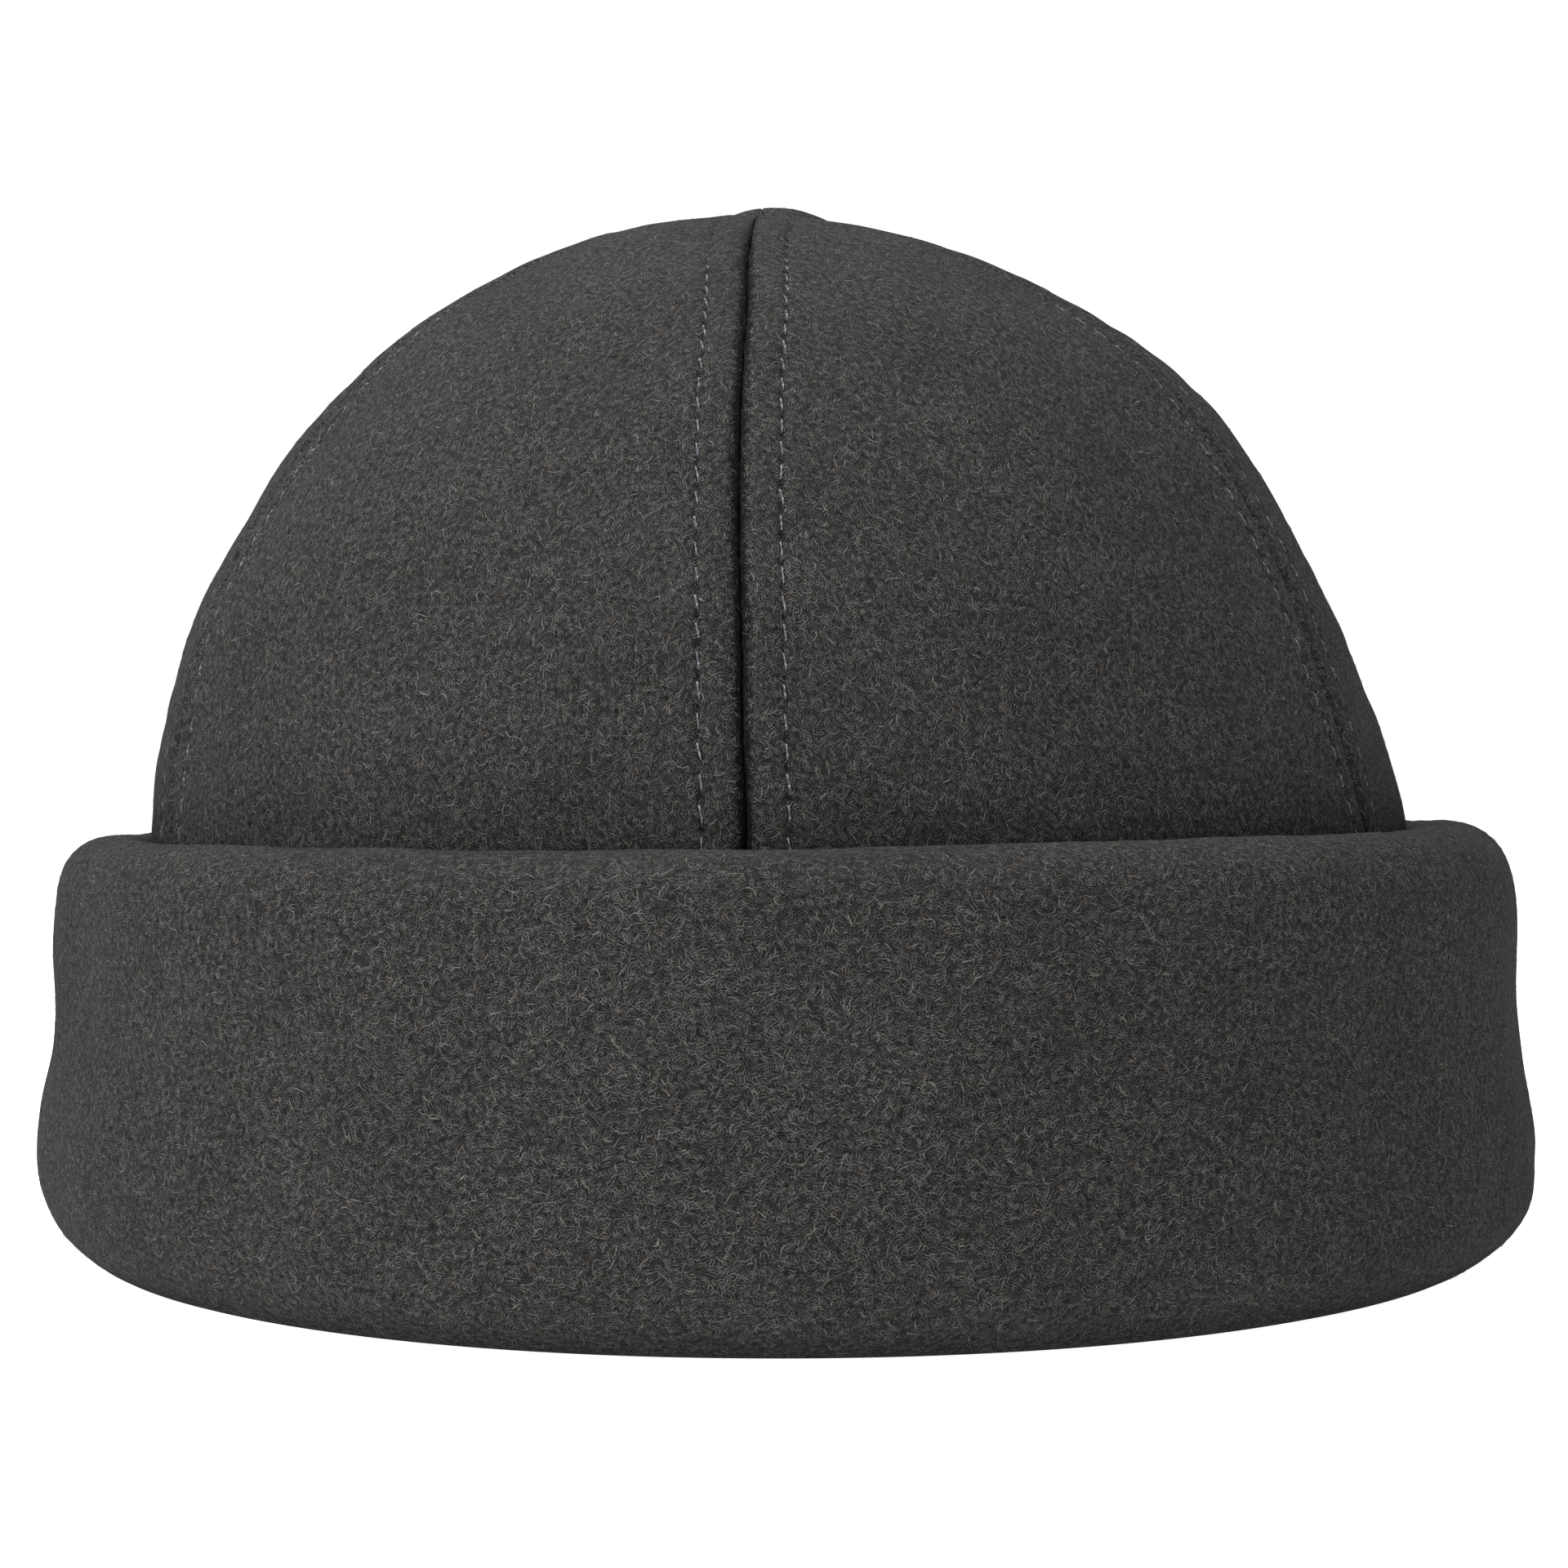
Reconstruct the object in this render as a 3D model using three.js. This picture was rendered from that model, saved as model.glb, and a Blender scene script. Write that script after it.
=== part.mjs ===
// A wool felt beanie: six crown panels sewn edge to edge and a broad folded cuff.
// Millimetres, +Z up, the front faces -Y, z = 0 is the surface that the cuff rests on.

import * as THREE from 'three';

// Crown
const crownHalfWidth = 84; // outer surface where it enters the cuff, along X
const crownHalfLength = 100; // the same along Y
const crownRise = 82; // from the cuff's top to the apex
const crownShift = -1; // the crown's foot sits this far along X from the cuff's middle
const panelCount = 6;
const panelThickness = 2.2;
const allowanceWidth = 8; // seam allowance, pressed open on the inside
const allowanceThickness = 1.6;
const allowanceStep = 1; // width over which the allowance's edge fades out
const edgeRadius = 1.2; // how a panel's edge rolls into the seam
const seamGap = 0.3;
const crossingWidth = 13; // the small hump where the seams cross at the apex
const crossingRise = 1;

// Cuff
const cuffHeight = 55.4;
const cuffStandOff = 15; // from the crown's surface to the cuff's belly
const cuffLean = 0.065; // share by which it stands off further at +X and less at -X
const cuffRise = 0.9; // the top edge is this much higher at +X and lower at -X
const cuffThickness = 2.2;
const crownClearance = 0.35; // between the turned-in hem and the crown
const legHeight = 14; // the inner leg's top edge, where the panels are sewn on
const legFoldHeight = 8; // where the inner leg starts to turn out into the bottom fold
const hemDepth = 30; // how far the hem reaches down inside the cuff
const hemRollHeight = 3.6; // height of the roll between the top edge and the hem

const feltColour = '#3f3d3c';
const feltRoughness = 0.95;

// The crown's outline from the cuff's top to the apex. up is a share of crownRise, wide and
// lean (how far the middle lies along X) of crownHalfWidth, long of crownHalfLength.
const crownSections = [
  { up: 0.0, wide: 1.0, long: 1.0, lean: 0.0 },
  { up: 0.146, wide: 0.974, long: 0.977, lean: -0.013 },
  { up: 0.366, wide: 0.902, long: 0.91, lean: -0.022 },
  { up: 0.585, wide: 0.78, long: 0.795, lean: -0.019 },
  { up: 0.756, wide: 0.63, long: 0.65, lean: -0.018 },
  { up: 0.89, wide: 0.425, long: 0.447, lean: -0.035 },
  { up: 0.972, wide: 0.211, long: 0.228, lean: -0.042 },
  { up: 1.0, wide: 0.0, long: 0.0, lean: -0.032 },
];

// The cuff's outer face from the surface that it rests on to its top. out is a share of
// cuffStandOff and up of cuffHeight. The first two rows are the flat that it rests on.
const cuffSections = [
  { out: 0.16, up: 0.0 },
  { out: 0.31, up: 0.0 },
  { out: 0.49, up: 0.011 },
  { out: 0.66, up: 0.04 },
  { out: 0.84, up: 0.09 },
  { out: 0.96, up: 0.162 },
  { out: 1.0, up: 0.253 },
  { out: 0.96, up: 0.361 },
  { out: 0.897, up: 0.469 },
  { out: 0.86, up: 0.596 },
  { out: 0.867, up: 0.758 },
  { out: 0.833, up: 0.875 },
  { out: 0.727, up: 0.946 },
  { out: 0.533, up: 0.986 },
  { out: 0.267, up: 1.0 },
];
const bellyHeight = cuffHeight * cuffSections.find((row) => row.out === 1).up;

// Where the mesh has its rows and columns. Levels count rows of crownSections.
const crownLevels = [0, 0.5, 1, 1.5, 2, 2.5, 3, 3.5, 4, 4.5, 5, 5.5, 6, 6.4, 6.7, 6.96];
const edgeShares = [0, 0.3, 1]; // columns across the rolled edge
const middleShares = [0.45, 0.75]; // columns between the allowance and a panel's middle
const cuffSegments = 56;
const rollSteps = 4;
const arcSamples = 720;

const apexLevel = crownSections.length - 1;
const frontTurn = -Math.PI / 2;
const feltMaterial = () =>
  new THREE.MeshStandardMaterial({ color: feltColour, roughness: feltRoughness, metalness: 0 });

// One smooth curve through a column of crownSections. A mirrored row past the apex rounds
// the top off.
function columnCurve(column, mirrorSign) {
  const values = crownSections.map((row) => row[column]);
  values.push(mirrorSign * values[apexLevel - 1]);
  return new THREE.SplineCurve(values.map((value, i) => new THREE.Vector2(i, value)));
}

const crownCurves = {
  up: columnCurve('up', 1),
  wide: columnCurve('wide', -1),
  long: columnCurve('long', -1),
  lean: columnCurve('lean', 1),
};

// The crown's cross-section at a level. Below level 0 it goes straight down inside the cuff,
// to z = 0 at level -1.
function crownSection(level) {
  const share = (name) => crownCurves[name].getPoint(Math.max(level, 0) / (apexLevel + 1)).y;
  const hidden = Math.min(level, 0) * cuffHeight;
  return {
    height: cuffHeight + hidden + share('up') * crownRise,
    halfWidth: share('wide') * crownHalfWidth,
    halfLength: share('long') * crownHalfLength,
    middle: crownShift + share('lean') * crownHalfWidth,
  };
}

function crownPoint(turn, level) {
  const { height, halfWidth, halfLength, middle } = crownSection(level);
  return new THREE.Vector3(middle + halfWidth * Math.cos(turn), halfLength * Math.sin(turn), height);
}

function crownNormal(turn, level) {
  const step = 0.01;
  const around = crownPoint(turn + step, level).sub(crownPoint(turn - step, level));
  const upward = crownPoint(turn, level + step).sub(crownPoint(turn, level - step));
  return around.cross(upward).normalize();
}

// Millimetres along the cross-section for each radian of turn
function spacing(turn, level) {
  const { halfWidth, halfLength } = crownSection(level);
  return Math.hypot(halfWidth * Math.sin(turn), halfLength * Math.cos(turn));
}

// Seams start at the front and divide the crown's foot into equal lengths of cloth.
function seamTurns() {
  const step = (2 * Math.PI) / arcSamples;
  const lengths = [0];
  for (let i = 0; i < arcSamples; i += 1) {
    lengths.push(lengths[i] + spacing(frontTurn + (i + 0.5) * step, 0) * step);
  }
  const turns = [];
  for (let seam = 0; seam <= panelCount; seam += 1) {
    const wanted = (seam / panelCount) * lengths[arcSamples];
    const next = Math.max(1, lengths.findIndex((length) => length >= wanted - 1e-9));
    const part = (wanted - lengths[next - 1]) / (lengths[next] - lengths[next - 1]);
    turns.push(frontTurn + (next - 1 + part) * step);
  }
  return turns;
}

// How far the outer surface has rolled down at a distance from the panel's edge
function edgeDrop(distance, roll) {
  const inside = Math.max(0, roll - distance);
  return roll - Math.sqrt(roll ** 2 - inside ** 2);
}

function wallAt(distance) {
  const inAllowance = THREE.MathUtils.clamp(
    (allowanceWidth + allowanceStep / 2 - distance) / allowanceStep, 0, 1);
  return panelThickness + allowanceThickness * inAllowance;
}

// The hump where all the allowances cross at the apex
function crossingHeight(point) {
  const apex = crownPoint(0, apexLevel);
  const away = Math.hypot(point.x - apex.x, point.y - apex.y) / (crossingWidth / 2);
  return crossingRise * Math.max(0, 1 - away ** 2) ** 2;
}

// Columns of one level as turns, with their distances from the nearer edge and the radius of
// the edge's roll, which shrinks with the panel's width towards the apex
function panelColumns(fromTurn, toTurn, level) {
  const half = (toTurn - fromTurn) / 2;
  const halfAcross = half * spacing(fromTurn + half, level);
  const roll = Math.min(edgeRadius, halfAcross / 3);
  const edges = edgeShares.map((share) => share * roll);
  edges.push(allowanceWidth - allowanceStep / 2, allowanceWidth + allowanceStep / 2);
  const count = edges.length + middleShares.length;
  const columnsFrom = (startTurn, direction) => {
    const perRadian = spacing(startTurn, level);
    const gap = seamGap / 2 / perRadian;
    const limit = (i) => gap + ((half - gap) * i) / count;
    const near = edges.map((edge, i) => Math.min(gap + edge / perRadian, limit(i)));
    const far = middleShares.map((share, i) => Math.max(share * half, limit(edges.length + i)));
    return [...near, ...far].map((offset) => ({
      turn: startTurn + direction * offset,
      distance: (offset - gap) * perRadian,
      roll,
    }));
  };
  const left = columnsFrom(fromTurn, 1);
  const right = columnsFrom(toTurn, -1).reverse();
  const middle = { turn: fromTurn + half, distance: halfAcross, roll };
  return [...left, middle, ...right];
}

// A closed solid from a grid of rings. Each ring is a closed loop of points, and the rings
// are either joined round to the first or closed with an end cap of quads.
function solidFromRings(rings, joinEnds, capQuads = []) {
  const size = rings[0].length;
  const positions = rings.flat().flatMap((point) => [point.x, point.y, point.z]);
  const indices = [];
  const quad = (a, b, c, d) => indices.push(a, b, c, a, c, d);
  const lastRing = joinEnds ? rings.length : rings.length - 1;
  for (let i = 0; i < lastRing; i += 1) {
    const here = i * size;
    const above = ((i + 1) % rings.length) * size;
    for (let j = 0; j < size; j += 1) {
      const next = (j + 1) % size;
      quad(here + j, here + next, above + next, above + j);
    }
  }
  const end = (rings.length - 1) * size;
  for (const [a, b, c, d] of capQuads) {
    quad(a, d, c, b);
    quad(end + a, end + b, end + c, end + d);
  }
  const geometry = new THREE.BufferGeometry();
  geometry.setAttribute('position', new THREE.Float32BufferAttribute(positions, 3));
  geometry.setIndex(indices);
  geometry.computeVertexNormals();
  return geometry;
}

function crownPanel(fromTurn, toTurn) {
  const footLevel = (legHeight + seamGap) / cuffHeight - 1;
  const rings = [footLevel, ...crownLevels].map((level) => {
    const columns = panelColumns(fromTurn, toTurn, level);
    const outer = columns.map(({ turn, distance, roll }) => {
      const point = crownPoint(turn, level);
      point.addScaledVector(crownNormal(turn, level), -edgeDrop(distance, roll));
      point.z += crossingHeight(point);
      return point;
    });
    const inner = columns.map(({ turn, distance }) =>
      crownPoint(turn, level).addScaledVector(crownNormal(turn, level), -wallAt(distance)));
    return [...outer, ...inner.reverse()];
  });
  const size = rings[0].length;
  const caps = [];
  for (let i = 0; i < size / 2 - 1; i += 1) {
    caps.push([i, i + 1, size - 2 - i, size - 1 - i]);
  }
  return new THREE.Mesh(solidFromRings(rings, false, caps), feltMaterial());
}

// The cuff's face all along its cross-section, as distance out from the crown's surface and
// height: up the inner leg's face backwards, round the bottom fold, up the outer wall, over
// the top edge and down the hem.
function cuffFace() {
  const outer = cuffSections.map((row) => [row.out * cuffStandOff, row.up * cuffHeight]);
  const [restOut] = outer[0];
  const [topOut, topUp] = outer[outer.length - 1];
  const face = [[-cuffThickness, legHeight]];
  for (let i = 0; i < rollSteps; i += 1) {
    const angle = (i / rollSteps) * (Math.PI / 2);
    const out = restOut - (restOut + cuffThickness) * Math.cos(angle);
    face.push([out, legFoldHeight * (1 - Math.sin(angle))]);
  }
  face.push(...outer);
  for (let i = 1; i <= rollSteps; i += 1) {
    const angle = (i / rollSteps) * (Math.PI / 2);
    const out = topOut - (topOut - crownClearance) * Math.sin(angle);
    face.push([out, topUp - hemRollHeight * (1 - Math.cos(angle))]);
  }
  face.push([crownClearance, cuffHeight - hemDepth]);
  return face.map(([out, up]) => new THREE.Vector2(out, up));
}

// The same line moved by the cloth's thickness towards the hollow of the fold
function offsetLine(line, thickness) {
  const last = line.length - 1;
  const direction = (to) => line[to].clone().sub(line[to - 1]).normalize();
  return line.map((point, i) => {
    const incoming = direction(Math.max(i, 1));
    const outgoing = direction(Math.min(i + 1, last));
    const along = incoming.clone().add(outgoing).normalize();
    const inward = new THREE.Vector2(-along.y, along.x);
    return point.clone().addScaledVector(inward, thickness / along.dot(incoming));
  });
}

function foldedCuff() {
  const face = cuffFace();
  const loop = [...offsetLine(face, cuffThickness), ...face.reverse()];
  const rings = [];
  for (let i = 0; i < cuffSegments; i += 1) {
    const turn = frontTurn + (i / cuffSegments) * 2 * Math.PI;
    const foot = crownPoint(turn, 0);
    const normal = new THREE.Vector2(
      Math.cos(turn) / crownHalfWidth, Math.sin(turn) / crownHalfLength).normalize();
    rings.push(loop.map(({ x: out, y: up }) => {
      const away = out * (1 + cuffLean * Math.cos(turn));
      const aboveBelly = Math.max(0, up - bellyHeight) / (cuffHeight - bellyHeight);
      const height = up + cuffRise * Math.cos(turn) * aboveBelly;
      return new THREE.Vector3(foot.x + away * normal.x, foot.y + away * normal.y, height);
    }));
  }
  return new THREE.Mesh(solidFromRings(rings, true), feltMaterial());
}

const beanie = new THREE.Group();

const turns = seamTurns();
for (let i = 0; i < panelCount; i += 1) {
  const panel = crownPanel(turns[i], turns[i + 1]);
  panel.name = `crown_panel_${i + 1}`;
  beanie.add(panel);
}

const cuff = foldedCuff();
cuff.name = 'cuff';
beanie.add(cuff);

export default beanie;
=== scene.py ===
from functools import partial
import math
import bpy
import numpy as np
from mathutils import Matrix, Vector


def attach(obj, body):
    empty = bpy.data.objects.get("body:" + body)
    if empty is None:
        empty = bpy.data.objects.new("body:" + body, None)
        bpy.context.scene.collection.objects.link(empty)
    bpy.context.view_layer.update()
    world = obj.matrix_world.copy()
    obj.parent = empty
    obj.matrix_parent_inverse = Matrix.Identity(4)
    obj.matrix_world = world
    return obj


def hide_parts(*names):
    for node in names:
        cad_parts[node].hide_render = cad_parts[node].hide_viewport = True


# A felted wool beanie: six sewn crown panels with topstitched seams and a broad folded
# cuff. Shapes are worked out in millimetres and stored in metres.

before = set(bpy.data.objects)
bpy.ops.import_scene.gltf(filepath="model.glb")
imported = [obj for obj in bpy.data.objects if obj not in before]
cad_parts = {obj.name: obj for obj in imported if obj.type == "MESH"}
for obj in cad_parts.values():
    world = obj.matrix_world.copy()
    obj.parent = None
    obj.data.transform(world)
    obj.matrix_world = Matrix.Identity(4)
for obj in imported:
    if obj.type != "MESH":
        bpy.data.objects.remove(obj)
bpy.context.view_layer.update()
mm = 0.001

# The crown and the cuff as they are cut, with the same numbers as the solids have
crown = {
    "halfWidth": 84.0,  # at its foot, on the cloth's outer face
    "halfLength": 100.0,
    "rise": 82.0,  # from the cuff's height to the apex
    "shift": -1.0,  # of its middle, along X
    "panels": 6,
    # shares of the rise, half width and half length, and the middle's lean, also a share
    "rows": [
        (0.0, 1.0, 1.0, 0.0), (0.146, 0.974, 0.977, -0.013), (0.366, 0.902, 0.91, -0.022),
        (0.585, 0.78, 0.795, -0.019), (0.756, 0.63, 0.65, -0.018),
        (0.89, 0.425, 0.447, -0.035), (0.972, 0.211, 0.228, -0.042), (1.0, 0.0, 0.0, -0.032),
    ],
}
cuff = {
    "height": 55.4,
    "standOff": 15.0,  # from the crown's foot to where the outer wall stands out most
    "lean": 0.065,  # the share by which it stands out further at +X and less at -X
    "rise": 0.9,  # how much higher its top is at +X, and lower at -X
    "topDrop": 0.3,
    "thickness": 2.2,
    "clearance": 0.35,  # from the hem to the crown
    "legHeight": 14.0, "legFold": 8.0, "legPoints": 4,
    "hemDepth": 30.0, "hemRoll": 1.5, "hemPoints": 9,
    # shares of the stand-off and of the height, from the surface it rests on to its top
    "rows": [
        (0.16, 0.0), (0.31, 0.0), (0.49, 0.011), (0.66, 0.04), (0.84, 0.09), (0.96, 0.162),
        (1.0, 0.253), (0.96, 0.361), (0.897, 0.469), (0.86, 0.596), (0.867, 0.758),
        (0.833, 0.875), (0.727, 0.946), (0.533, 0.986), (0.267, 1.0),
    ],
    "step": 1.25,  # mesh size where it shows
    "pastHem": 6,  # how far down the hem it stays so fine
    "hiddenColumns": 34,
    # the unevenness of the soft cloth: how deep, how wide, and where it sets in
    "slowWave": 0.18, "slowSize": 34, "slowSeed": 71,
    "quickWave": 0.07, "quickSize": 8.5, "quickSeed": 72,
    "wallOut": (8.0, 11.5), "wallUp": (3.0, 12.0), "topOut": (1.2, 5.0), "topUp": (46, 52),
    # the plain seam at the back, with shade painted in its groove
    "seamRoll": 1.3, "seamShade": 0.9, "seamShadeWidth": 0.8,
    "seamRows": (0, 0.12, 0.35, 0.75, 1.3, 2.1), "plainFrom": 3.2, "plainTo": 3.0,
    "legOut": (-2.2, -1.0), "legUp": 20,
    # the bottom fold stands further out at +X and less at -X
    "foldLean": 0.03, "foldTop": 15,
    "fuller": 0.6, "fullerUp": (-4, 6, 18, 30),  # the bulge at -X
    "lower": 0.9, "lowerUp": (6, 13), "lowerOut": (3, 7),  # the fold's further reach at +X
    "napStretch": 1.12,  # the outer wall's girth, as a share of the foot's
}
panel = {
    "thickness": 2.2, "allowanceThickness": 1.6,
    "gap": 0.24, "sewnGap": 0.04,  # between two panels, where they show and where they are sewn
    "foot": 14.3,  # the height of the lower edge
    "showsFrom": 50, "hiddenRows": 6,  # what is lower stands behind the cuff
    "roll": 1.4, "rollDepth": 0.9,
    "lower": 0.18,
    "stripRise": 0.3, "stripAt": (0.6, 2.0, 5.2, 9.5),  # the cloth over the allowance
    "hollow": 0.1, "hollowAt": (4.2, 5.6, 8.5, 12.0),
    "flatTop": (0.8, 7.0),
    # the topstitched line, with its channel and needle holes
    "lineAt": 4.7, "channelDepth": 0.22, "channelWidth": 0.5,
    "holeDepth": 0.3, "holeWidth": 0.75, "holeReach": 1,
    "innerChannel": 0.2, "innerChannelWidth": 0.6, "allowanceEnd": (7.6, 8.35),
    # the hump at the apex
    "crossing": 18.3, "crossingRise": 2.1, "crossingAt": (2.2, 1.0), "crossingEdge": 3,
    "crossingFall": 1.3, "crossingBelow": 0.5,
    "step": 0.7,
    "slowWave": 0.156, "slowSize": 26, "slowSeed": 11, "slowFrom": (0.5, 6.0),
    "quickWave": 0.06, "quickSize": 7.5, "quickSeed": 31, "quickFrom": (0.3, 3.0),
    "raggedEdge": 0.13, "raggedSize": 2.6, "raggedSeed": 61, "raggedReach": 0.8,
    "raggedFades": (5.0, 6.2),
    # how dark the painted shade is: in the seam's groove, in the stitched channel and in its
    # needle holes
    "seamShade": 0.9, "seamShadeWidth": 0.9, "lineShade": 0.24, "holeShade": 0.36,
    "sideSeams": 0.4, "sideLines": 0.5,  # all but the front and back ones are fainter
    "closing": 0.9, "closes": (4.4, 6.4),  # the seams close up towards the apex
    # how sewing lets a seam wander: waves per level, turn from seam to seam, share
    "seamWobble": 0.16, "wobbleWaves": [(2.3, 1.7, 1.0), (5.1, 2.9, 0.6)], "wobbleFades": 1.2,
    # how far the front seam lies to the side of the crown's middle, by level
    "frontSeam": [(0.0, 0.6), (0.7, 1.15), (1.2, 1.3), (1.6, 1.45), (2.0, 1.3), (2.4, 0.9),
                  (2.8, 0.5), (3.3, 0.2), (3.7, 0.05), (4.1, 0.2), (4.7, 0.6), (5.2, 1.0),
                  (5.6, 1.2), (7.0, 1.2)],
    "frontFades": 0.5,
    # columns of the mesh: distances from the panel's edge, then shares of what is left
    "edges": [0, 0.1, 0.3, 0.7, 1.4, 2.4, 3.4, 4.0, 4.3, 4.5, 4.7, 4.9, 5.15, 5.5, 6.3, 7.6,
              9.2],
    "middle": [0.13, 0.28, 0.45, 0.63, 0.82],
    "innerEdges": [0, 2.2, 4.1, 4.5, 4.75, 5.0, 7.3, 7.9, 8.1, 9.2],
    "innerMiddle": [0.3, 0.65],
    # where half a panel is narrower than this, its columns draw together
    "fullWidth": 13.0, "narrow": 3, "narrowColumns": (0.02, 0.985), "leastOffset": 0.06,
    "edgeOnMap": 1.9, "mapMargin": 2, "mapExtra": 12,
}
apexLevel = len(crown["rows"]) - 1


def throughPoints(values, at):
    values = np.asarray(values, float)
    last = len(values) - 1
    i = np.clip(np.floor(at).astype(int), 0, last - 1)
    t = at - i
    a, b = values[np.maximum(i - 1, 0)], values[i]
    c, d = values[i + 1], values[np.minimum(i + 2, last)]
    slopeIn, slopeOut = (c - a) / 2, (d - b) / 2
    return ((2 * (b - c) + slopeIn + slopeOut) * t ** 3
            + (3 * (c - b) - 2 * slopeIn - slopeOut) * t ** 2 + slopeIn * t + b)


# A mirrored row past the apex rounds the top off
columnValues = [
    [row[k] for row in crown["rows"]] + [sign * crown["rows"][-2][k]]
    for k, sign in enumerate((1, -1, -1, 1))
]


def crownSection(level):
    level = np.asarray(level, float)
    up, wide, long, lean = (throughPoints(v, np.maximum(level, 0)) for v in columnValues)
    height = cuff["height"] * (1 + np.minimum(level, 0)) + up * crown["rise"]
    middle = crown["shift"] + lean * crown["halfWidth"]
    return height, wide * crown["halfWidth"], long * crown["halfLength"], middle


def crownPoint(turn, level):
    height, halfWidth, halfLength, middle = crownSection(level)
    return np.stack(np.broadcast_arrays(
        middle + halfWidth * np.cos(turn), halfLength * np.sin(turn), height), -1)


def unit(vectors):
    return vectors / np.maximum(np.linalg.norm(vectors, axis=-1, keepdims=True), 1e-12)


def crownNormal(turn, level):
    step = 0.01
    around = crownPoint(turn + step, level) - crownPoint(turn - step, level)
    upward = crownPoint(turn, level + step) - crownPoint(turn, level - step)
    return unit(np.cross(around, upward))


def spacing(turn, level):
    _, halfWidth, halfLength, _ = crownSection(level)
    return np.hypot(halfWidth * np.sin(turn), halfLength * np.cos(turn))


def runLength(points):
    steps = np.linalg.norm(np.diff(points, axis=0), axis=-1)
    return np.concatenate([[0], np.cumsum(steps)])


def turnsByLength(start, shares):
    turn = start + np.linspace(0, 2 * math.pi, 4001)
    run = runLength(crownPoint(turn, np.zeros_like(turn)))
    return np.interp(np.asarray(shares) * run[-1], run, turn), run[-1]


def softWaves(points, size, seed, count=18, spread=(0.75, 1.6)):
    # An even, cloudy unevenness of about 1 in height, with bumps of about this size
    rng = np.random.default_rng(seed)
    directions = unit(rng.normal(size=(count, 3)))
    waves = 2 * math.pi / (size * rng.uniform(*spread, count))
    turns = rng.uniform(0, 2 * math.pi, count)
    total = np.sin(points @ (directions * waves[:, None]).T + turns).sum(-1)
    return total / math.sqrt(count / 2)


def eased(x, low, high):
    t = np.clip((x - low) / (high - low), 0, 1)
    return t * t * (3 - 2 * t)


def plateau(x, start, full, fading, end):
    return eased(x, start, full) * (1 - eased(x, fading, end))


def deselectAll():
    if bpy.context.object and bpy.context.object.mode != "OBJECT":
        bpy.ops.object.mode_set(mode="OBJECT")
    bpy.ops.object.select_all(action="DESELECT")


def readAll(items, name, kind=int, size=1):
    values = np.empty(len(items) * size, kind)
    items.foreach_get(name, values)
    return values


def meshPoints(mesh):
    return readAll(mesh.vertices, "co", float, 3).reshape(-1, 3)


def selectPoints(piece, chosen):
    mesh = piece.data
    mesh.polygons.foreach_set("select", np.zeros(len(mesh.polygons), bool))
    mesh.edges.foreach_set("select", np.zeros(len(mesh.edges), bool))
    mesh.vertices.foreach_set("select", chosen)


def editAll(operator, **settings):
    bpy.ops.object.mode_set(mode="EDIT")
    bpy.ops.mesh.select_all(action="SELECT")
    operator(**settings)
    bpy.ops.object.mode_set(mode="OBJECT")


def wrapGrid(name, places, maps=(), endCaps=False, smoothAngle=60, pressed=None):
    # A flat grid whose points go to places (rows, columns, 3) in mm. Points that meet are
    # merged. maps are (name, u, v) and are laid before that, so they may have a seam.
    # The last argument says how much shade is painted on the cloth, in and along the seams'
    # grooves and in the gaps between panels, from 0 to 1.
    rows, columns = places.shape[:2]
    deselectAll()
    bpy.ops.mesh.primitive_grid_add(
        x_subdivisions=columns - 1, y_subdivisions=rows - 1, size=2, calc_uvs=False)
    piece = bpy.context.object
    piece.name = piece.data.name = name
    mesh = piece.data
    flat = meshPoints(mesh)
    column = np.rint((flat[:, 0] + 1) / 2 * (columns - 1)).astype(int)
    row = np.rint((flat[:, 1] + 1) / 2 * (rows - 1)).astype(int)
    corners = readAll(mesh.loops, "vertex_index")
    for mapName, u, v in maps:
        layer = mesh.uv_layers.new(name=mapName)
        both = np.stack([u[row, column], v[row, column]], -1)[corners]
        layer.data.foreach_set("uv", both.ravel())
    if pressed is not None:
        shadeLayer = mesh.attributes.new("pressed", "FLOAT", "POINT")
        shadeLayer.data.foreach_set("value", pressed[row, column].astype(np.float32))
    mesh.vertices.foreach_set("co", (places[row, column] * mm).ravel())
    mesh.update()
    editAll(bpy.ops.mesh.remove_doubles, threshold=1e-7)
    if endCaps:
        points = meshPoints(mesh)
        for end in (places[0], places[-1]):
            near = np.zeros(len(mesh.vertices), bool)
            for point in end * mm:
                near[np.argmin(((points - point) ** 2).sum(-1))] = True
            selectPoints(piece, near)
            bpy.ops.object.mode_set(mode="EDIT")
            bpy.ops.mesh.select_mode(type="VERT")
            bpy.ops.mesh.edge_face_add()
            bpy.ops.object.mode_set(mode="OBJECT")
    editAll(bpy.ops.mesh.normals_make_consistent, inside=False)
    bpy.ops.object.shade_smooth_by_angle(angle=math.radians(smoothAngle))
    return piece


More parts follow.
